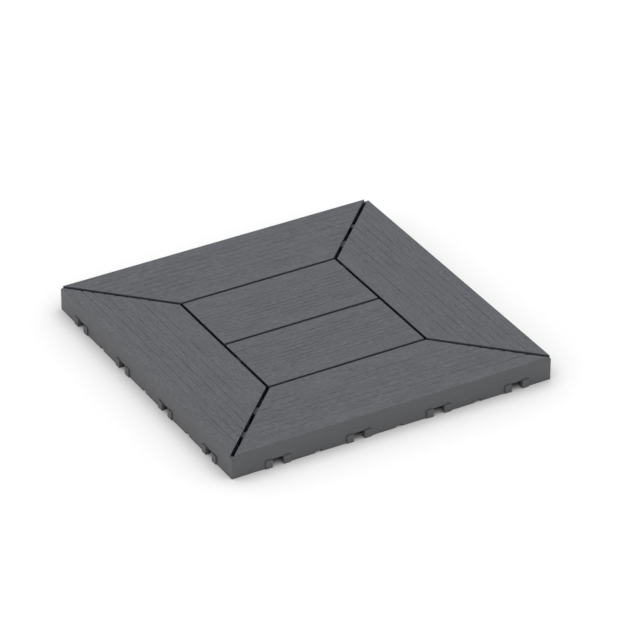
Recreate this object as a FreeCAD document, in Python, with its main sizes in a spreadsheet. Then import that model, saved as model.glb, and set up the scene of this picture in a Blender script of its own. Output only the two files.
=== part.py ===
import FreeCAD, Part
import Sketcher
import os

# Interlocking deck tile, one injection moulding, in millimetres.
# The origin is the middle of the square tile on the surface it rests on, and +Z is up.
# The front side faces -Y and the left side faces -X: these two carry the sockets.
# The back side faces +Y and the right side faces +X: these two carry the hooks.

SIZES = (
    ("tile_size", "300", "side of the square, over the skirt"),
    ("tile_height", "22", "resting surface to walking surface"),
    ("skirt_wall", "2.4", "thickness of the wall all round"),
    ("deck_plate", "2.5", "thickness of the walking surface"),
    ("edge_round", "0.6", "radius on the outer edges of the tile"),
    ("board_width", "75", "width of each border board, to the middle of its slot"),
    ("slot_width", "2.75", "width of the straight slots between boards"),
    ("mitre_slot_width", "3.4", "width of the four diagonal slots"),
    ("slot_relief", "5", "depth by which the ribs stay below a slot"),
    ("border_groove_margin", "20.5", "from a border board's slot to its first groove"),
    ("border_groove_pitch", "7", "groove to groove on a border board"),
    ("inner_groove_margin", "15", "from the middle slot to an inner board's first groove"),
    ("inner_groove_pitch", "5", "groove to groove on an inner board"),
    ("groove_width", "0.6", "width of the long grooves of the wood look"),
    ("groove_depth", "0.35", "depth of the long grooves"),
    ("rib_count", "12", "ribs each way under the deck"),
    ("rib_thickness", "1.4", "thickness of a rib"),
    ("rib_lift", "2", "height of the ribs above the resting surface"),
    ("foot_diameter", "7.6", "outside of a round foot"),
    ("foot_bore", "4.4", "hollow of a round foot"),
    ("foot_cap", "2", "solid top of a foot under the deck"),
    ("bridge_size", "8", "side of a square foot under a slot"),
    ("middle_bridge_size", "6.4", "side of a middle square foot under a slot"),
    ("small_bridge_size", "4.4", "side of a small square foot under a slot"),
    ("bridge_wall", "1.4", "wall of a square foot"),
    ("bridge_rise", "0.8", "how far a square foot stands up into its slot"),
    ("front_near_bridge", "99.3", "middle of the first foot under the front and left mitres"),
    ("front_far_bridge", "125", "middle of the second foot under the front and left mitres"),
    ("back_near_bridge", "94.9", "middle of the first foot under the back and right mitres"),
    ("back_far_bridge", "116.9", "middle of the second foot under the back and right mitres"),
    ("socket_pitch", "75", "socket to socket along a side"),
    ("front_shift", "4.4", "sockets and hooks of the front and back, off the middle"),
    ("left_shift", "-0.9", "sockets and hooks of the left and right, off the middle"),
    ("socket_width", "10.5", "width of a socket's mouth"),
    ("mouth_height", "7.4", "height of a socket's mouth"),
    ("socket_depth", "7.5", "from the skirt's face to the socket's back wall"),
    ("socket_wall", "1.6", "thickness of a socket's sides and back"),
    ("channel_margin", "1.5", "how far the channel reaches past its mouth on each side"),
    ("spacer_width", "6.1", "width of each spacer beside a mouth"),
    ("spacer_height", "7.5", "height of a spacer"),
    ("spacer_depth", "1.1", "how far a spacer stands out"),
    ("hook_clearance", "0.3", "gap round a hook in its socket"),
    ("hook_lift", "0.6", "height of a hook above the resting surface"),
    ("hook_wall", "1.8", "wall round the hollow under a hook"),
    ("barb_thickness", "3", "thickness of the upturned end of a hook"),
    ("barb_height", "3.4", "how far the upturned end stands above the mouth"),
    ("barb_chamfer", "1", "lead-in on the barb"),
    ("drain_width", "5.8", "width of a drain notch in the skirt"),
    ("drain_height", "2.2", "height of a drain notch in the skirt"),
)

BORDER_GROOVES = 7
INNER_GROOVES = 9
SOCKETS_PER_SIDE = 4
DRAINS_PER_SIDE = 3
CUT_PAST = "5"

HALF = "(sizes.tile_size / 2)"
INSIDE = "(sizes.tile_size / 2 - sizes.skirt_wall)"
MID_SKIRT = "(sizes.tile_size / 2 - sizes.skirt_wall / 2)"
SLOT_LINE = "(sizes.tile_size / 2 - sizes.board_width)"
DECK_UNDERSIDE = "(sizes.tile_height - sizes.deck_plate)"
RIB_PITCH = "((sizes.tile_size - 2 * sizes.skirt_wall) / sizes.rib_count)"
MITRE_ASIDE = "(sizes.mitre_slot_width / 2 * sqrt(0.5))"
SOCKET_SPAN = "%d * sizes.socket_pitch" % (SOCKETS_PER_SIDE - 1)
DRAIN_SPAN = "%d * sizes.socket_pitch" % (DRAINS_PER_SIDE - 1)

SHIFTS = {"front": "sizes.front_shift", "back": "sizes.front_shift",
          "left": "sizes.left_shift", "right": "sizes.left_shift"}
ROW_AXES = {"front": "X_Axis", "back": "X_Axis", "left": "Y_Axis", "right": "Y_Axis"}

doc = FreeCAD.newDocument("deck_tile_model")
sheet = doc.addObject("Spreadsheet::Sheet", "sizes")
for row, (alias, size, meaning) in enumerate(SIZES, start=1):
    sheet.set("A%d" % row, alias)
    sheet.set("B%d" % row, size)
    sheet.set("C%d" % row, meaning)
    sheet.setAlias("B%d" % row, alias)
doc.recompute()


def number(formula):
    """The value that a formula on the sheet has now."""
    answer = sheet.evalExpression(formula)
    return float(getattr(answer, "Value", answer))


def new_body(name):
    """A body for one form of the tile. Its rows may leave it in several pieces."""
    body = doc.addObject("PartDesign::Body", name)
    body.AllowCompound = True
    doc.recompute()
    return body


def origin_item(body, role):
    """A plane or an axis of a body's own origin."""
    return next(item for item in body.Origin.OriginFeatures if item.Role == role)


def sketch_on(body, name, role="XY_Plane", offset="0"):
    """A sketch on a plane of the body's origin, moved along its normal."""
    sketch = body.newObject("Sketcher::SketchObject", name)
    sketch.AttachmentSupport = [(origin_item(body, role), "")]
    sketch.MapMode = "FlatFace"
    sketch.setExpression("AttachmentOffset.Base.z", offset)
    return sketch


def place(sketch, edge, end, across, along):
    """Hold one point of a sketch at two formulas, measured from the sketch's origin."""
    for kind, formula in (("DistanceX", across), ("DistanceY", along)):
        rule = Sketcher.Constraint(kind, -1, 1, edge, end, number(formula))
        index = sketch.addConstraint(rule)
        sketch.setExpression("Constraints[%d]" % index, formula)


def outline(sketch, points):
    """A closed outline of straight lines, each corner held at its own formulas."""
    corners = [FreeCAD.Vector(number(x), number(y), 0) for x, y in points]
    count = len(corners)
    first = sketch.GeometryCount
    for index in range(count):
        line = Part.LineSegment(corners[index], corners[(index + 1) % count])
        sketch.addGeometry(line, False)
    for index in range(count):
        following = first + (index + 1) % count
        sketch.addConstraint(Sketcher.Constraint("Coincident", first + index, 2, following, 1))
    for index, (x, y) in enumerate(points):
        place(sketch, first + index, 1, x, y)


def rectangle(sketch, x_low, y_low, x_high, y_high):
    """A rectangle between two corners."""
    outline(sketch, ((x_low, y_low), (x_high, y_low), (x_high, y_high), (x_low, y_high)))


def centred_square(sketch, x, y, size):
    """A square of a size about a point."""
    rectangle(sketch, "%s - %s / 2" % (x, size), "%s - %s / 2" % (y, size),
              "%s + %s / 2" % (x, size), "%s + %s / 2" % (y, size))


def square(sketch, half):
    """A square about the middle of the tile."""
    rectangle(sketch, "-" + half, "-" + half, half, half)


def circle(sketch, x, y, diameter):
    """A circle about a point."""
    centre = FreeCAD.Vector(number(x), number(y), 0)
    radius = number(diameter) / 2
    edge = sketch.addGeometry(Part.Circle(centre, FreeCAD.Vector(0, 0, 1), radius), False)
    place(sketch, edge, 3, x, y)
    index = sketch.addConstraint(Sketcher.Constraint("Radius", edge, radius))
    sketch.setExpression("Constraints[%d]" % index, "%s / 2" % diameter)


def side_rectangle(sketch, side, along_low, along_high, out_low, out_high):
    """A rectangle on one side of the tile, its depth measured out from the tile's middle."""
    if side == "front":
        rectangle(sketch, along_low, "-" + out_high, along_high, "-" + out_low)
    elif side == "back":
        rectangle(sketch, along_low, out_low, along_high, out_high)
    elif side == "left":
        rectangle(sketch, "-" + out_high, along_low, "-" + out_low, along_high)
    else:
        rectangle(sketch, out_low, along_low, out_high, along_high)


def extrude(body, kind, name, sketch, length, reverse=False):
    """A pad or a pocket of a sketch. A pocket has to remove something."""
    doc.recompute()
    before = body.Tip.Shape.Volume if kind == "Pocket" else 0
    feature = body.newObject("PartDesign::" + kind, name)
    feature.Profile = sketch
    feature.setExpression("Length", length)
    feature.Reversed = reverse
    doc.recompute()
    if kind == "Pocket" and not feature.Shape.Volume < before:
        raise RuntimeError(name + " removed nothing")
    return feature


def row_of(body, name, feature, role, count, length):
    """Copies of a feature in a row along an axis of the tile."""
    row = body.newObject("PartDesign::LinearPattern", name)
    row.Originals = [feature]
    row.Direction = (origin_item(body, role), [""])
    row.setExpression("Length", length)
    row.setExpression("Occurrences", count)
    body.Tip = row
    doc.recompute()
    return row


def first_of(side, count):
    """Where the first of a row stands along its side."""
    return "(%s - %g * sizes.socket_pitch)" % (SHIFTS[side], (count - 1) / 2)


def slot_outline(sketch, reach):
    """All slots as one outline: four diagonal arms to a reach, and the two inner boards left out."""
    ring = "(%s + sizes.slot_width / 2)" % SLOT_LINE
    root = "(%s - 2 * %s)" % (ring, MITRE_ASIDE)
    far = "(%s + %s)" % (reach, MITRE_ASIDE)
    near = "(%s - %s)" % (reach, MITRE_ASIDE)
    points = []
    for turn_x, turn_y in (("-", "-"), ("", "-"), ("", ""), ("-", "")):
        arm = [(turn_x + root, turn_y + ring), (turn_x + near, turn_y + far),
               (turn_x + far, turn_y + near), (turn_x + ring, turn_y + root)]
        if turn_x == turn_y:
            arm.reverse()
        points.extend(arm)
    outline(sketch, points)
    board_side = "(%s - sizes.slot_width / 2)" % SLOT_LINE
    rectangle(sketch, "-" + board_side, "-" + board_side, board_side, "-sizes.slot_width / 2")
    rectangle(sketch, "-" + board_side, "sizes.slot_width / 2", board_side, board_side)


# Shell: a block with rounded outer edges, hollowed from below
shell = new_body("shell")
block_sketch = sketch_on(shell, "block_outline")
square(block_sketch, HALF)
block = extrude(shell, "Pad", "block", block_sketch, "sizes.tile_height")
outer_edges = []
for index, edge in enumerate(block.Shape.Edges, start=1):
    if max(vertex.Point.z for vertex in edge.Vertexes) > number("sizes.tile_height / 2"):
        outer_edges.append("Edge%d" % index)
rounding = shell.newObject("PartDesign::Fillet", "rounded_edges")
rounding.Base = (block, outer_edges)
rounding.setExpression("Radius", "sizes.edge_round")
hollow_sketch = sketch_on(shell, "hollow_outline")
square(hollow_sketch, INSIDE)
extrude(shell, "Pocket", "hollow", hollow_sketch, DECK_UNDERSIDE, reverse=True)

# Drain notches in the skirt, between the sockets and between the hooks
for side in ("front", "back", "left", "right"):
    first = first_of(side, DRAINS_PER_SIDE)
    drain_sketch = sketch_on(shell, side + "_drain_outline")
    side_rectangle(drain_sketch, side,
                   "%s - sizes.drain_width / 2" % first, "%s + sizes.drain_width / 2" % first,
                   "(%s - sizes.skirt_wall)" % INSIDE, "(%s + %s)" % (HALF, CUT_PAST))
    drain = extrude(shell, "Pocket", side + "_drain", drain_sketch, "sizes.drain_height", reverse=True)
    row_of(shell, side + "_drains", drain, ROW_AXES[side], str(DRAINS_PER_SIDE), DRAIN_SPAN)

# Slots between the boards, through the deck and out at the four corners
slot_sketch = sketch_on(shell, "slot_outline", offset="sizes.tile_height")
slot_outline(slot_sketch, "(%s + %s)" % (HALF, CUT_PAST))
extrude(shell, "Pocket", "slots", slot_sketch, "sizes.deck_plate")

# Long grooves of the wood look. Those of a border board end in its mitre slots
border_sketch = sketch_on(shell, "border_groove_outline", offset="sizes.tile_height")
for index in range(BORDER_GROOVES):
    offset = "(%s + sizes.border_groove_margin + %d * sizes.border_groove_pitch)" % (SLOT_LINE, index)
    rectangle(border_sketch,
              "-" + offset, "-%s - sizes.groove_width / 2" % offset,
              offset, "-%s + sizes.groove_width / 2" % offset)
border_groove = extrude(shell, "Pocket", "border_groove", border_sketch, "sizes.groove_depth")
turn = shell.newObject("PartDesign::PolarPattern", "border_grooves")
turn.Originals = [border_groove]
turn.Axis = (origin_item(shell, "Z_Axis"), [""])
turn.Angle = 360
turn.Occurrences = 4
shell.Tip = turn
INNER_SPAN = "(%d * sizes.inner_groove_pitch)" % (INNER_GROOVES - 1)
for name, first in (("inner_back", "sizes.inner_groove_margin"),
                    ("inner_front", "(0 - sizes.inner_groove_margin - %s)" % INNER_SPAN)):
    inner_sketch = sketch_on(shell, name + "_groove_outline", offset="sizes.tile_height")
    rectangle(inner_sketch,
              "-" + SLOT_LINE, "%s - sizes.groove_width / 2" % first,
              SLOT_LINE, "%s + sizes.groove_width / 2" % first)
    inner_groove = extrude(shell, "Pocket", name + "_groove", inner_sketch, "sizes.groove_depth")
    row_of(shell, name + "_grooves", inner_groove, "Y_Axis", str(INNER_GROOVES), INNER_SPAN)

# Grid of ribs, both ways, let down where a slot passes over them
RIB_SPAN = "%s * (sizes.rib_count - 1)" % RIB_PITCH
RIB_RISE = "%s - sizes.rib_lift" % DECK_UNDERSIDE
rib_low = "-%s / 2 - sizes.rib_thickness / 2" % RIB_SPAN
rib_high = "-%s / 2 + sizes.rib_thickness / 2" % RIB_SPAN
ribs = new_body("ribs")
cross_sketch = sketch_on(ribs, "cross_rib_outline", offset="sizes.rib_lift")
rectangle(cross_sketch, "-" + MID_SKIRT, rib_low, MID_SKIRT, rib_high)
cross_rib = extrude(ribs, "Pad", "cross_rib", cross_sketch, RIB_RISE)
row_of(ribs, "cross_ribs", cross_rib, "Y_Axis", "sizes.rib_count", RIB_SPAN)
long_sketch = sketch_on(ribs, "long_rib_outline", offset="sizes.rib_lift")
rectangle(long_sketch, rib_low, "-" + MID_SKIRT, rib_high, MID_SKIRT)
long_rib = extrude(ribs, "Pad", "long_rib", long_sketch, RIB_RISE)
row_of(ribs, "long_ribs", long_rib, "X_Axis", "sizes.rib_count", RIB_SPAN)
relief_sketch = sketch_on(ribs, "relief_outline", offset=DECK_UNDERSIDE)
slot_outline(relief_sketch, "(%s - %s)" % (INSIDE, MITRE_ASIDE))
extrude(ribs, "Pocket", "relief", relief_sketch, "sizes.slot_relief")

# Round hollow feet where the ribs cross, away from the slots, and a solid one in the middle
round_feet = []
for steps_x, steps_y in ((1.5, 1.5), (1.5, 4.5), (4.5, 1.5)):
    for turn_x in ("", "-"):
        for turn_y in ("", "-"):
            round_feet.append(("%s%g * %s" % (turn_x, steps_x, RIB_PITCH),
                               "%s%g * %s" % (turn_y, steps_y, RIB_PITCH)))
feet = new_body("feet")
feet_sketch = sketch_on(feet, "feet_outline")
for x, y in round_feet + [("0", "0")]:
    circle(feet_sketch, x, y, "sizes.foot_diameter")
extrude(feet, "Pad", "foot_columns", feet_sketch, DECK_UNDERSIDE)

# Square hollow feet under the slots, which also bridge the boards on both sides
bridge_feet = [("-" + SLOT_LINE, "-" + RIB_PITCH, "sizes.bridge_size"),
               (SLOT_LINE, "2.5 * " + RIB_PITCH, "sizes.middle_bridge_size"),
               ("-2 * " + RIB_PITCH, SLOT_LINE, "sizes.middle_bridge_size"),
               ("2 * " + RIB_PITCH, "-" + SLOT_LINE, "sizes.bridge_size")]
for turn_x, turn_y, corner, far_size in (("-", "-", "front", "sizes.middle_bridge_size"),
                                         ("-", "", "front", "sizes.middle_bridge_size"),
                                         ("", "", "back", "sizes.small_bridge_size"),
                                         ("", "-", "back", "sizes.small_bridge_size")):
    for name, size in (("near", "sizes.bridge_size"), ("far", far_size)):
        along = "sizes.%s_%s_bridge" % (corner, name)
        bridge_feet.append((turn_x + along, turn_y + along, size))
bridges = new_body("bridges")
bridge_sketch = sketch_on(bridges, "bridge_outline")
for x, y, size in bridge_feet:
    centred_square(bridge_sketch, x, y, size)
extrude(bridges, "Pad", "bridge_columns", bridge_sketch, DECK_UNDERSIDE + " + sizes.bridge_rise")

# Bores of the round and of the square feet, closed by a cap under the deck
bores = new_body("bores")
bore_sketch = sketch_on(bores, "bore_outline")
for x, y in round_feet:
    circle(bore_sketch, x, y, "sizes.foot_bore")
for x, y, size in bridge_feet:
    centred_square(bore_sketch, x, y, "(%s - 2 * sizes.bridge_wall)" % size)
extrude(bores, "Pad", "bore_columns", bore_sketch, "%s - sizes.foot_cap" % DECK_UNDERSIDE)

# Sockets: a housing behind the skirt, and a spacer on each side of the mouth
housings = new_body("housings")
spacers = new_body("spacers")
channels = new_body("channels")
for side in ("front", "left"):
    axis = ROW_AXES[side]
    first = first_of(side, SOCKETS_PER_SIDE)
    mouth_low = "%s - sizes.socket_width / 2" % first
    mouth_high = "%s + sizes.socket_width / 2" % first
    channel_low = mouth_low + " - sizes.channel_margin"
    channel_high = mouth_high + " + sizes.channel_margin"
    housing_sketch = sketch_on(housings, side + "_housing_outline")
    side_rectangle(housing_sketch, side,
                   channel_low + " - sizes.socket_wall", channel_high + " + sizes.socket_wall",
                   "(%s - sizes.socket_depth - sizes.socket_wall)" % HALF, MID_SKIRT)
    housing = extrude(housings, "Pad", side + "_housing", housing_sketch, DECK_UNDERSIDE)
    row_of(housings, side + "_housings", housing, axis, str(SOCKETS_PER_SIDE), SOCKET_SPAN)
    spacer_sketch = sketch_on(spacers, side + "_spacer_outline")
    side_rectangle(spacer_sketch, side, mouth_low + " - sizes.spacer_width", mouth_low,
                   MID_SKIRT, "(%s + sizes.spacer_depth)" % HALF)
    side_rectangle(spacer_sketch, side, mouth_high, mouth_high + " + sizes.spacer_width",
                   MID_SKIRT, "(%s + sizes.spacer_depth)" % HALF)
    spacer = extrude(spacers, "Pad", side + "_spacer", spacer_sketch, "sizes.spacer_height")
    row_of(spacers, side + "_spacers", spacer, axis, str(SOCKETS_PER_SIDE), SOCKET_SPAN)
    channel_sketch = sketch_on(channels, side + "_channel_outline")
    side_rectangle(channel_sketch, side, channel_low, channel_high,
                   "(%s - sizes.socket_depth)" % HALF, INSIDE)
    channel = extrude(channels, "Pad", side + "_channel", channel_sketch, DECK_UNDERSIDE)
    row_of(channels, side + "_channels", channel, axis, str(SOCKETS_PER_SIDE), SOCKET_SPAN)
    mouth_sketch = sketch_on(channels, side + "_mouth_outline")
    side_rectangle(mouth_sketch, side, mouth_low, mouth_high,
                   "(%s - sizes.skirt_wall)" % INSIDE, "(%s + %s)" % (HALF, CUT_PAST))
    mouth = extrude(channels, "Pad", side + "_mouth", mouth_sketch, "sizes.mouth_height")
    row_of(channels, side + "_mouths", mouth, axis, str(SOCKETS_PER_SIDE), SOCKET_SPAN)

# Hooks: a hollow neck and an upturned barb that stands behind the neighbour's skirt
HOOK_WIDTH = "(sizes.socket_width - 2 * sizes.hook_clearance)"
NECK_TOP = "(sizes.mouth_height - sizes.hook_clearance)"
BARB_TOP = "(sizes.mouth_height + sizes.barb_height)"
BARB_START = "(%s + sizes.spacer_depth + sizes.skirt_wall + sizes.hook_clearance)" % HALF
HOOK_END = "(%s + sizes.barb_thickness)" % BARB_START
hooks = new_body("hooks")
for side in ("back", "right"):
    axis = ROW_AXES[side]
    first = first_of(side, SOCKETS_PER_SIDE)
    if side == "back":
        profile = sketch_on(hooks, "back_hook_outline", "YZ_Plane", "%s - %s / 2" % (first, HOOK_WIDTH))
    else:
        profile = sketch_on(hooks, "right_hook_outline", "XZ_Plane", "-%s - %s / 2" % (first, HOOK_WIDTH))
    outline(profile, (
        (MID_SKIRT, "sizes.hook_lift"),
        (HOOK_END, "sizes.hook_lift"),
        (HOOK_END, BARB_TOP + " - sizes.barb_chamfer"),
        (HOOK_END + " - sizes.barb_chamfer", BARB_TOP),
        (BARB_START, BARB_TOP),
        (BARB_START, NECK_TOP),
        (MID_SKIRT, NECK_TOP)))
    hook = extrude(hooks, "Pad", side + "_hook", profile, HOOK_WIDTH)
    row_of(hooks, side + "_hooks", hook, axis, str(SOCKETS_PER_SIDE), SOCKET_SPAN)
    core_sketch = sketch_on(hooks, side + "_core_outline", offset="sizes.hook_lift")
    side_rectangle(core_sketch, side,
                   "%s - %s / 2 + sizes.hook_wall" % (first, HOOK_WIDTH),
                   "%s + %s / 2 - sizes.hook_wall" % (first, HOOK_WIDTH),
                   HALF, "(%s - sizes.hook_wall)" % HOOK_END)
    core = extrude(hooks, "Pocket", side + "_core", core_sketch,
                   "%s - sizes.hook_lift - sizes.hook_wall" % NECK_TOP, reverse=True)
    row_of(hooks, side + "_cores", core, axis, str(SOCKETS_PER_SIDE), SOCKET_SPAN)

# The tile is one moulding: its forms are joined, then the channels and the bores are opened
solid_forms = doc.addObject("Part::MultiFuse", "solid_forms")
solid_forms.Shapes = [shell, ribs, feet, bridges, housings, spacers, hooks]
solid_forms.Refine = False
hollow_forms = doc.addObject("Part::MultiFuse", "hollow_forms")
hollow_forms.Shapes = [channels, bores]
hollow_forms.Refine = False
tile = doc.addObject("Part::Cut", "deck_tile")
tile.Label = "deck_tile"
tile.Base = solid_forms
tile.Tool = hollow_forms

doc.recompute()
for item in doc.Objects:
    if "Invalid" in item.State or "Error" in item.State:
        raise RuntimeError(item.Label + " failed")
shape = tile.Shape
if shape.isNull() or not shape.isValid() or len(shape.Solids) != 1:
    raise RuntimeError("deck_tile is not one valid solid")

os.makedirs("parts", exist_ok=True)
shape.exportStep("parts/" + tile.Label + ".step")
box = shape.BoundBox
print("deck_tile: %.1f cm3, %.2f x %.2f x %.2f mm"
      % (shape.Volume / 1000, box.XLength, box.YLength, box.ZLength))
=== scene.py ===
import math
from collections import namedtuple

import bmesh
import bpy
from mathutils import Matrix, Vector, noise


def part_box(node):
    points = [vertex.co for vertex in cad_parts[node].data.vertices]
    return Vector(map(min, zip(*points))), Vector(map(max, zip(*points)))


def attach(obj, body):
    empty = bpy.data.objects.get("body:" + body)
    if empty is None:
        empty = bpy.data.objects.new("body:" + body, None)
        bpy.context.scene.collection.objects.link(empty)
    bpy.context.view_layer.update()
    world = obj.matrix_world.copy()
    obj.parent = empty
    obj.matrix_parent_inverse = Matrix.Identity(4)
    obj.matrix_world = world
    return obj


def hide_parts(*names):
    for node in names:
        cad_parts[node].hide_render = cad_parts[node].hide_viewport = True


# Looks of the interlocking deck tile: its embossed boards, its plastic, the floor, the light
# and the camera. Sizes are in millimetres and are turned into metres with MM.
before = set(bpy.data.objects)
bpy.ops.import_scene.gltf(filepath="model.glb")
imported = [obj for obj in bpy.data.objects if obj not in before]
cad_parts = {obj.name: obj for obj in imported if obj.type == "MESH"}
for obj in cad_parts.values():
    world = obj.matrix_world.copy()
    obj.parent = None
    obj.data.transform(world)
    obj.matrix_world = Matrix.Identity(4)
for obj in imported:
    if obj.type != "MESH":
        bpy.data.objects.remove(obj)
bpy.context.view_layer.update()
MM = 0.001

# The boards' tops are rebuilt from a cut through the deck plate up
CUT_BELOW_TOP = 1.5
WELD_DISTANCE = 0.002
CUT_TOLERANCE = 1e-8
LEVEL_TOLERANCE = 1e-7
STRAIGHT = -0.99999
BORDER_BEYOND = 100.0
EDGE_ROUND = 0.6
ROUND_STEPS = 4
SHARP_ANGLE = 40.0
SLOT_EDGE_DROP = 0.12
SLOT_EDGE_WIDTH = 0.25
ROW_STEP = 0.52
BORDER_COLUMNS = 104
INNER_COLUMNS = 66
SEED_STEP = 5.17

# The long grooves as (first, pitch, count), measured from the board's side that is nearest to
# the middle of the tile. They are deeper on the boards that run along Y. On the left and front
# boards they end in a notch at the left and right mitre slots
GROOVE_DEPTH = {"X": 0.27, "Y": 0.36}
GROOVE_HALF_TOP = 0.34
GROOVE_HALF_FLOOR = 0.18
GROOVE_END_DROP = 0.9
GROOVE_END_FLARE = 0.45
BORDER_GROOVES = (19.125, 7.0, 7)
INNER_GROOVES = (13.625, 5.0, 9)

# A groove's depth changes slowly along it: its least share, and how the noise adds to that
FADE_LENGTH = 18.0
FADE_SEED = 51.9
FADE_LEAST = 0.6
FADE_RANGE = 0.5
FADE_MIDDLE = 0.55
FADE_CONTRAST = 1.1

# The embossed wood grain, a little deeper on the boards that run along Y: fibres that are
# stronger in patches, with deeper pores between them, all wandering a little across the board
GRAIN_DEPTH = {"X": 0.22, "Y": 0.29}
FIBRE_LENGTH = 8.0
FIBRE_WIDTH = 1.15
FIBRE_SEED = 11.3
FIBRE_MIDDLE = 0.5
FIBRE_CONTRAST = 0.75
PATCH_LENGTH = 30.0
PATCH_WIDTH = 9.0
PATCH_SEED = 37.1
PATCH_MIDDLE = 0.55
PATCH_CONTRAST = 0.9
PORE_LENGTH = 26.0
PORE_WIDTH = 1.6
PORE_SEED = 23.7
PORE_START = 0.18
PORE_SOFTNESS = 0.25
PORE_STRENGTH = 0.8
WANDER_LENGTH = 45.0
WANDER_WIDTH = 18.0
WANDER = 2.6

# How much of the grain's depth a row of a board carries
NO_GRAIN = 0.0
EDGE_GRAIN = 0.3
RIM_GRAIN = 0.5
FULL_GRAIN = 1.0

# The plastic. Each texture is (length, width, detail), and each range is what its noise spans
PLASTIC = (0.0734, 0.0727, 0.073)
SPECULAR = 0.5
NOISE_SPAN = (0.3, 0.7)
NOISE_ROUGHNESS = 0.6
FINE_FIBRE = (4.0, 1.2, 3.0)
FIBRE_RELIEF = 0.15
ROUGHNESS_RANGE = (0.48, 0.62)
SPECKLE = (4.0, 2.0, 2.0)
SPECKLE_RANGE = (-0.23, 0.23)
MOTTLE = (28.0, 11.0, 1.0)
MOTTLE_RANGE = (0.93, 1.07)
WALL_TEXTURE = 0.15
# Painted shade in the plastic's own creases, grooves and slots, from ambient occlusion
CREVICE_SHADE_REACH = 2.5
CREVICE_SHADE_POWER = 0.2
CREVICE_SHADE_SAMPLES = 8

# Painted shade down in the slots: what lies there gets darker from the first depth to the second,
# and sooner on the faces that are turned away from where most of the light comes in. The outer
# walls and what lies under the deck plate are left out of that
SLOT_SHADE_DEPTHS = (0.95, 2.1)
SLOT_SHADE = 0.12
SLOT_LIGHT_FROM = (-0.3, -1.0, 0.85)
SLOT_FACING = (0.3, 1.0)
SLOT_REACH = (0.48, 1.0)
HALF_TILE = 150.0
WALL_SKIN = 0.3
DECK_PLATE = 2.5
DECK_SKIN = 0.05

# The floor and the light
FLOOR_HALF = 9000.0
FLOOR = (0.98, 0.936, 0.867)
FLOOR_ROUGHNESS = 0.9
FLOOR_SPECULAR = 0.2
# Painted shadow on the floor close around the tile, from ambient occlusion
FLOOR_SHADE_REACH = 16.0
FLOOR_SHADE_POWER = 0.36
SURROUND = (1.05, 1.1, 1.188)
SIDE_LIGHT = 1.9
SIDE_LIGHT_FROM = (-0.96, -0.1, 0.26)
SIDE_LIGHT_AWAY = 2200.0
SIDE_LIGHT_SIZE = 900.0

# The camera, fitted to the corners of the tile in the photograph
AZIMUTH = math.radians(-29.812)
ELEVATION = math.radians(31.529)
DISTANCE = 3450.5
SIDEWAYS = -10.43
UPWARDS = -14.39
AIM_HEIGHT = 10.92
FOCAL_LENGTH = 236.06
SENSOR_WIDTH = 36.0
CLIP = (0.1, 100.0)

# A row across a board: its distance from the board's inner side, its drop below the face, the
# share of the grain that it carries, and how much further it drops in a notch at its end
Row = namedtuple("Row", "across drop grain end_drop")


def top_of_tile():
    """Height of the walking surface, from the frame."""
    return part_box("deck_tile")[1].z / MM


def smooth(x):
    """A soft step from 0 to 1."""
    x = min(max(x, 0.0), 1.0)
    return x * x * (3 - 2 * x)


def grain_drop(seed, along, across):
    """How far the wood grain lies below the board's face, from 0 to 1 of its depth."""
    wander = noise.noise(Vector((along / WANDER_LENGTH, across / WANDER_WIDTH, seed)))
    over = across + WANDER * wander
    fibres = noise.noise(Vector((along / FIBRE_LENGTH, over / FIBRE_WIDTH, seed + FIBRE_SEED)))
    pores = noise.noise(Vector((along / PORE_LENGTH, over / PORE_WIDTH, seed + PORE_SEED)))
    patches = noise.noise(Vector((along / PATCH_LENGTH, over / PATCH_WIDTH, seed + PATCH_SEED)))
    strength = PATCH_MIDDLE + PATCH_CONTRAST * patches
    relief = FIBRE_MIDDLE + FIBRE_CONTRAST * strength * fibres
    pore = smooth((-pores - PORE_START) / PORE_SOFTNESS)
    return min(max(1 - relief + PORE_STRENGTH * pore, 0.0), 1.0)


def groove_fade(seed, along, across):
    """How much of its depth a long groove has at a place."""
    change = noise.noise(Vector((along / FADE_LENGTH, across, seed + FADE_SEED)))
    return FADE_LEAST + FADE_RANGE * smooth(FADE_MIDDLE + FADE_CONTRAST * change)


def board_rows(width, grooves, depth, outer_edge):
    """The rows across a board, from its inner side out."""
    first, pitch, count = grooves
    rows = [Row(0.0, SLOT_EDGE_DROP, NO_GRAIN, 0.0), Row(SLOT_EDGE_WIDTH, 0.0, EDGE_GRAIN, 0.0)]
    stops = []
    for index in range(count):
        middle = first + pitch * index
        stops += [Row(middle - GROOVE_HALF_TOP, 0.0, FULL_GRAIN, GROOVE_END_FLARE),
                  Row(middle - GROOVE_HALF_FLOOR, depth, EDGE_GRAIN, GROOVE_END_DROP),
                  Row(middle + GROOVE_HALF_FLOOR, depth, EDGE_GRAIN, GROOVE_END_DROP),
                  Row(middle + GROOVE_HALF_TOP, 0.0, FULL_GRAIN, GROOVE_END_FLARE)]
    if outer_edge:
        flat_end = width - EDGE_ROUND
        ending = []
        for step in range(1, ROUND_STEPS + 1):
            turn = math.pi / 2 * step / ROUND_STEPS
            ending.append(Row(flat_end + EDGE_ROUND * math.sin(turn),
                              EDGE_ROUND * (1 - math.cos(turn)), NO_GRAIN, 0.0))
    else:
        flat_end = width - SLOT_EDGE_WIDTH
        ending = [Row(width, SLOT_EDGE_DROP, NO_GRAIN, 0.0)]
    stops.append(Row(flat_end, 0.0, RIM_GRAIN, 0.0))
    for stop in stops:
        start = rows[-1]
        gap = stop.across - start.across
        if start.drop == 0 and stop.drop == 0 and gap > ROW_STEP:
            steps = math.ceil(gap / ROW_STEP)
            for step in range(1, steps):
                rows.append(Row(start.across + gap * step / steps, 0.0, FULL_GRAIN, 0.0))
        rows.append(stop)
    return rows + ending


def corners_at(bm, height):
    """The vertices that lie at a height."""
    return [v for v in bm.verts if abs(v.co.z - height * MM) < LEVEL_TOLERANCE]


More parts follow.
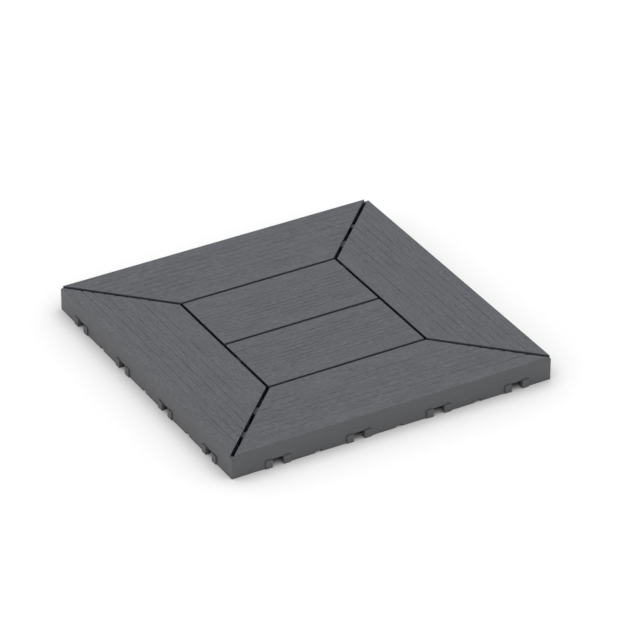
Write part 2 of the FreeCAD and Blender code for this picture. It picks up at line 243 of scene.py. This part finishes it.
def section_loops(bm, height):
    """The closed outlines at the cut, each a list of its corner vertices in order."""
    needless = []
    for vertex in corners_at(bm, height):
        ends = [e.other_vert(vertex).co - vertex.co for e in vertex.link_edges if e.is_boundary]
        if len(ends) == 2 and ends[0].normalized().dot(ends[1].normalized()) < STRAIGHT:
            needless.append(vertex)
    bmesh.ops.dissolve_verts(bm, verts=needless)
    waiting = set(corners_at(bm, height))
    loops = []
    while waiting:
        vertex = min(waiting, key=lambda v: (round(v.co.x, 6), round(v.co.y, 6)))
        loop = []
        while vertex is not None:
            loop.append(vertex)
            waiting.discard(vertex)
            beside = [e.other_vert(vertex) for e in vertex.link_edges if e.is_boundary]
            vertex = next((v for v in beside if v in waiting), None)
        loops.append(loop)
    return loops


def board_frame(loop):
    """A board's two inner and two outer corners, each pair in the board's own direction, and
    the directions along the board and outward."""
    centre = sum((v.co for v in loop), Vector()) / len(loop)
    outward = Vector((0, 1, 0)) if abs(centre.y) > abs(centre.x) else Vector((1, 0, 0))
    outward *= 1 if outward.dot(centre) > 0 else -1
    along = Vector((0, 0, 1)).cross(outward)
    middle = centre.dot(outward)
    inner = sorted((v for v in loop if v.co.dot(outward) < middle), key=lambda v: v.co.dot(along))
    outer = sorted((v for v in loop if v.co.dot(outward) >= middle), key=lambda v: v.co.dot(along))
    if len(inner) != 2 or len(outer) != 2:
        raise RuntimeError("a board's outline doesn't have four corners")
    return inner, outer, along, outward


def add_board(bm, loop, number, grain_layer):
    """The embossed top of one board, closed down to its outline at the cut."""
    inner, outer, along, outward = board_frame(loop)
    near = inner[0].co.dot(outward) / MM
    far = outer[0].co.dot(outward) / MM
    border = far > BORDER_BEYOND
    length_axis = "X" if abs(outward.y) > 0.5 else "Y"
    grain_depth = GRAIN_DEPTH[length_axis]
    groove_depth = GROOVE_DEPTH[length_axis]
    grooves = BORDER_GROOVES if border else INNER_GROOVES
    columns = BORDER_COLUMNS if border else INNER_COLUMNS
    notched = border and outward.x + outward.y < 0
    top = top_of_tile()
    seed = SEED_STEP * (number + 1)
    starts = [v.co.dot(along) / MM for v in (inner[0], outer[0])]
    ends = [v.co.dot(along) / MM for v in (inner[1], outer[1])]
    grid = []
    for row in board_rows(far - near, grooves, groove_depth, border):
        part = row.across / (far - near)
        start = starts[0] + (starts[1] - starts[0]) * part
        end = ends[0] + (ends[1] - ends[0]) * part
        line = []
        for column in range(columns + 1):
            place = start + (end - start) * column / columns
            spot = along * place + outward * (near + row.across)
            fade = groove_fade(seed, place, row.across) if row.drop == groove_depth else 1.0
            height = top - row.grain * grain_depth * grain_drop(seed, place, row.across)
            height -= row.drop * fade
            if notched and column in (0, columns) and spot.x * spot.y < 0:
                height -= row.end_drop
            vertex = bm.verts.new(Vector((spot.x, spot.y, height)) * MM)
            vertex[grain_layer] = Vector((place, row.across + near, seed))
            line.append(vertex)
        grid.append(line)
    for low, high in zip(grid, grid[1:]):
        for column in range(columns):
            bm.faces.new((low[column], low[column + 1], high[column + 1], high[column]))
    bm.faces.new([inner[1], inner[0]] + grid[0])
    bm.faces.new([outer[0], outer[1]] + grid[-1][::-1])
    bm.faces.new([inner[0], outer[0]] + [line[0] for line in grid[::-1]])
    bm.faces.new([outer[1], inner[1]] + [line[-1] for line in grid])


def clean_normals(mesh):
    """Smooth shading that stops at edges, without the normals that came with the frame's solid."""
    imported = mesh.attributes.get("custom_normal")
    if imported:
        mesh.attributes.remove(imported)
    mesh.polygons.foreach_set("use_smooth", [True] * len(mesh.polygons))
    mesh.update()
    mesh.set_sharp_from_angle(angle=math.radians(SHARP_ANGLE))


def make_tile():
    """The moulding: the frame's own solid below the cut, and the embossed boards above it."""
    bm = bmesh.new()
    bm.from_mesh(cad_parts["deck_tile"].data)
    bmesh.ops.remove_doubles(bm, verts=bm.verts, dist=WELD_DISTANCE * MM)
    height = top_of_tile() - CUT_BELOW_TOP
    bmesh.ops.bisect_plane(
        bm, geom=bm.verts[:] + bm.edges[:] + bm.faces[:], dist=CUT_TOLERANCE,
        plane_co=(0, 0, height * MM), plane_no=(0, 0, 1), clear_outer=True)
    grain_layer = bm.verts.layers.float_vector.new("grain")
    for vertex in bm.verts:
        vertex[grain_layer] = vertex.co / MM
    for number, loop in enumerate(section_loops(bm, height)):
        add_board(bm, loop, number, grain_layer)
    bmesh.ops.recalc_face_normals(bm, faces=bm.faces)
    mesh = bpy.data.meshes.new("tile_mesh")
    bm.to_mesh(mesh)
    bm.free()
    clean_normals(mesh)
    tile = bpy.data.objects.new("embossed_tile", mesh)
    bpy.context.scene.collection.objects.link(tile)
    tile.data.materials.append(tile_plastic())
    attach(tile, "root")
    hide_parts("deck_tile")


def new_material(name):
    """A material with its own shader, and that shader."""
    material = bpy.data.materials.new(name)
    material.use_nodes = True
    return material, material.node_tree.nodes["Principled BSDF"]


def add_node(material, kind, **sockets):
    """A node of a material, with numbers set on its inputs by name."""
    node = material.node_tree.nodes.new(kind)
    for name, value in sockets.items():
        node.inputs[name].default_value = value
    return node


def calculate(material, operation, *values):
    """A sum with values of a material, each a number or another node's output."""
    node = add_node(material, "ShaderNodeMath")
    node.operation = operation
    for socket, value in zip(node.inputs, values):
        if isinstance(value, float):
            socket.default_value = value
        else:
            material.node_tree.links.new(value, socket)
    return node.outputs["Value"]


def spread(material, value, source, target):
    """A value that goes from the first to the last of target as it does so in source."""
    node = add_node(material, "ShaderNodeMapRange", **{
        "From Min": source[0], "From Max": source[1], "To Min": target[0], "To Max": target[1]})
    material.node_tree.links.new(value, node.inputs["Value"])
    return node.outputs["Result"]


def coordinates(material):
    """A place's own X, Y and Z on the object in metres, and its normal there."""
    place = add_node(material, "ShaderNodeTexCoord")
    split = add_node(material, "ShaderNodeSeparateXYZ")
    material.node_tree.links.new(place.outputs["Object"], split.inputs["Vector"])
    return split.outputs["X"], split.outputs["Y"], split.outputs["Z"], place.outputs["Normal"]


def streaks(material, place, texture):
    """Noise drawn out along a board: a feature is about length by width in millimetres."""
    length, width, detail = texture
    link = material.node_tree.links.new
    stretch = add_node(material, "ShaderNodeVectorMath")
    stretch.operation = "MULTIPLY"
    stretch.inputs[1].default_value = (1 / length, 1 / width, 1)
    node = add_node(material, "ShaderNodeTexNoise",
                    Scale=1.0, Detail=detail, Roughness=NOISE_ROUGHNESS)
    link(place, stretch.inputs[0])
    link(stretch.outputs["Vector"], node.inputs["Vector"])
    return node.outputs["Fac"]


def slot_shade(material):
    """Painted shade: below 1 down in the slots, and 1 on the outer walls and on the underside."""
    x, y, z, normal = coordinates(material)
    facing = add_node(material, "ShaderNodeVectorMath")
    facing.operation = "DOT_PRODUCT"
    facing.inputs[1].default_value = SLOT_LIGHT_FROM
    material.node_tree.links.new(normal, facing.inputs[0])
    reach = spread(material, facing.outputs["Value"], SLOT_FACING, SLOT_REACH)
    top = top_of_tile()
    depth = calculate(material, "DIVIDE", calculate(material, "SUBTRACT", top * MM, z), reach)
    depths = [limit * MM for limit in SLOT_SHADE_DEPTHS]
    shade = spread(material, depth, depths, (1.0, SLOT_SHADE))
    sides = [calculate(material, "ABSOLUTE", side) for side in (x, y)]
    from_middle = calculate(material, "MAXIMUM", *sides)
    outside = calculate(material, "GREATER_THAN", from_middle, (HALF_TILE - WALL_SKIN) * MM)
    under = calculate(material, "LESS_THAN", z, (top - DECK_PLATE + DECK_SKIN) * MM)
    return calculate(material, "MAXIMUM", shade, calculate(material, "MAXIMUM", outside, under))


def texture_share(material):
    """1 on the boards' faces and little on the walls and the underside, which are plain."""
    top = top_of_tile()
    heights = [(top - CUT_BELOW_TOP) * MM, (top - EDGE_ROUND) * MM]
    return spread(material, coordinates(material)[2], heights, (WALL_TEXTURE, 1.0))


def painted_occlusion_shade(material, reach, power, own_only):
    """Painted shade from ambient occlusion: below 1 where the object itself, or anything, lies
    close around a place within a reach.
    """
    painted_shade = add_node(material, "ShaderNodeAmbientOcclusion", Distance=reach * MM)
    painted_shade.samples = CREVICE_SHADE_SAMPLES
    painted_shade.only_local = own_only
    return calculate(material, "POWER", painted_shade.outputs["AO"], power)


def tinted(material, shader, color, strength):
    """A colour times a value, into the shader's base colour."""
    node = add_node(material, "ShaderNodeVectorMath")
    node.operation = "SCALE"
    node.inputs[0].default_value = color
    material.node_tree.links.new(strength, node.inputs["Scale"])
    material.node_tree.links.new(node.outputs["Vector"], shader.inputs["Base Color"])


def tile_plastic():
    """Grey moulded polypropylene: fine fibres, speckle, slow mottling, and painted shade in its
    creases and slots.
    """
    material, shader = new_material("tile_plastic")
    shader.inputs["Specular IOR Level"].default_value = SPECULAR
    link = material.node_tree.links.new
    place = add_node(material, "ShaderNodeAttribute")
    place.attribute_name = "grain"
    fibres, speckle, mottle = [streaks(material, place.outputs["Vector"], texture)
                               for texture in (FINE_FIBRE, SPECKLE, MOTTLE)]
    share = texture_share(material)
    spots = calculate(material, "MULTIPLY", share,
                      spread(material, speckle, NOISE_SPAN, SPECKLE_RANGE))
    tone = calculate(material, "MULTIPLY", calculate(material, "ADD", 1.0, spots),
                     spread(material, mottle, NOISE_SPAN, MOTTLE_RANGE))
    # Painted shade: ambient occlusion in the creases, times the painted shade down in the slots
    painted_shade = calculate(material, "MULTIPLY",
                        painted_occlusion_shade(material, CREVICE_SHADE_REACH, CREVICE_SHADE_POWER, True),
                        slot_shade(material))
    tinted(material, shader, PLASTIC, calculate(material, "MULTIPLY", tone, painted_shade))
    link(spread(material, fibres, NOISE_SPAN, ROUGHNESS_RANGE), shader.inputs["Roughness"])
    bump = add_node(material, "ShaderNodeBump", Distance=FIBRE_RELIEF * MM)
    link(fibres, bump.inputs["Height"])
    link(share, bump.inputs["Strength"])
    link(bump.outputs["Normal"], shader.inputs["Normal"])
    return material


def make_floor():
    """A white floor with painted shadow close around the tile."""
    half = FLOOR_HALF * MM
    corners = [(-half, -half, 0), (half, -half, 0), (half, half, 0), (-half, half, 0)]
    mesh = bpy.data.meshes.new("floor")
    mesh.from_pydata(corners, [], [(0, 1, 2, 3)])
    floor = bpy.data.objects.new("floor", mesh)
    bpy.context.scene.collection.objects.link(floor)
    material, shader = new_material("floor_white")
    shader.inputs["Roughness"].default_value = FLOOR_ROUGHNESS
    shader.inputs["Specular IOR Level"].default_value = FLOOR_SPECULAR
    shade = painted_occlusion_shade(material, FLOOR_SHADE_REACH, FLOOR_SHADE_POWER, False)
    tinted(material, shader, FLOOR, shade)
    floor.data.materials.append(material)


def make_light():
    """A white surround and one large soft light from the left."""
    world = bpy.data.worlds.new("studio")
    bpy.context.scene.world = world
    world.use_nodes = True
    background = world.node_tree.nodes["Background"]
    background.inputs["Color"].default_value = (*SURROUND, 1)
    background.inputs["Strength"].default_value = 1.0
    lamp = bpy.data.lights.new("left_softbox", "AREA")
    lamp.shape = "SQUARE"
    lamp.size = SIDE_LIGHT_SIZE * MM
    lamp.energy = SIDE_LIGHT
    softbox = bpy.data.objects.new("left_softbox", lamp)
    direction = Vector(SIDE_LIGHT_FROM).normalized()
    softbox.location = direction * SIDE_LIGHT_AWAY * MM
    softbox.rotation_euler = direction.to_track_quat("Z", "Y").to_euler()
    bpy.context.scene.collection.objects.link(softbox)


def make_camera():
    """The photograph's viewpoint."""
    back = Vector((math.sin(AZIMUTH) * math.cos(ELEVATION),
                   -math.cos(AZIMUTH) * math.cos(ELEVATION), math.sin(ELEVATION)))
    right = (-back).cross(Vector((0, 0, 1))).normalized()
    up = right.cross(-back)
    place = Vector((0, 0, AIM_HEIGHT)) + DISTANCE * back - SIDEWAYS * right - UPWARDS * up
    data = bpy.data.cameras.new("camera")
    data.lens = FOCAL_LENGTH
    data.sensor_width = SENSOR_WIDTH
    data.sensor_fit = "HORIZONTAL"
    data.clip_start, data.clip_end = CLIP
    camera = bpy.data.objects.new("camera", data)
    turn = Matrix((right, up, back)).transposed().to_4x4()
    camera.matrix_world = Matrix.Translation(place * MM) @ turn
    bpy.context.scene.collection.objects.link(camera)
    bpy.context.scene.camera = camera


make_camera()
make_floor()
make_light()
make_tile()
bpy.context.scene.view_settings.view_transform = "Standard"
bpy.context.scene.view_settings.look = "None"
